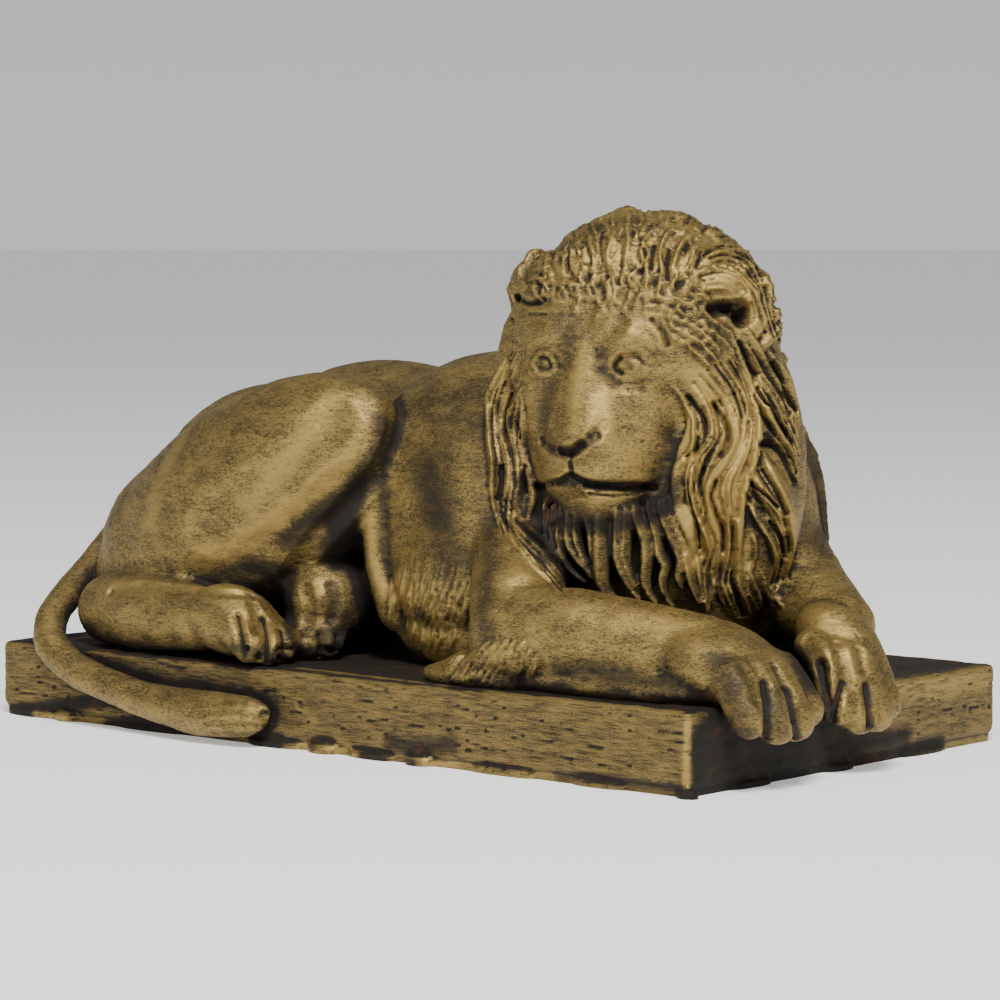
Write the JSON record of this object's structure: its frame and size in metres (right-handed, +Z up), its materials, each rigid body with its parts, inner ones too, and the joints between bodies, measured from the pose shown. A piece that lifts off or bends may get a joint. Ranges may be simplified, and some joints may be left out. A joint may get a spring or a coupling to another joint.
{
  "type": "lion figurine",
  "caption": "Recumbent lion on a low rectangular plinth, head turned to its right, forepaws over the front edge and tail down the side.",
  "frame": {"origin": "centre of the plinth's underside", "axes": "+X along the plinth towards the forepaws, +Y to the lion's left, +Z up. The head turns to the lion's right, towards -Y"},
  "size_m": [0.1276, 0.0715, 0.0698],
  "materials": {
    "bronze_paint": "gold-bronze metallic paint brushed over a near-black undercoat, worn bright on raised hair and paws, dark in the hollows"
  },
  "bodies": {
    "root": {"lion_figurine": "bronze_paint"}
  },
  "joints": []
}
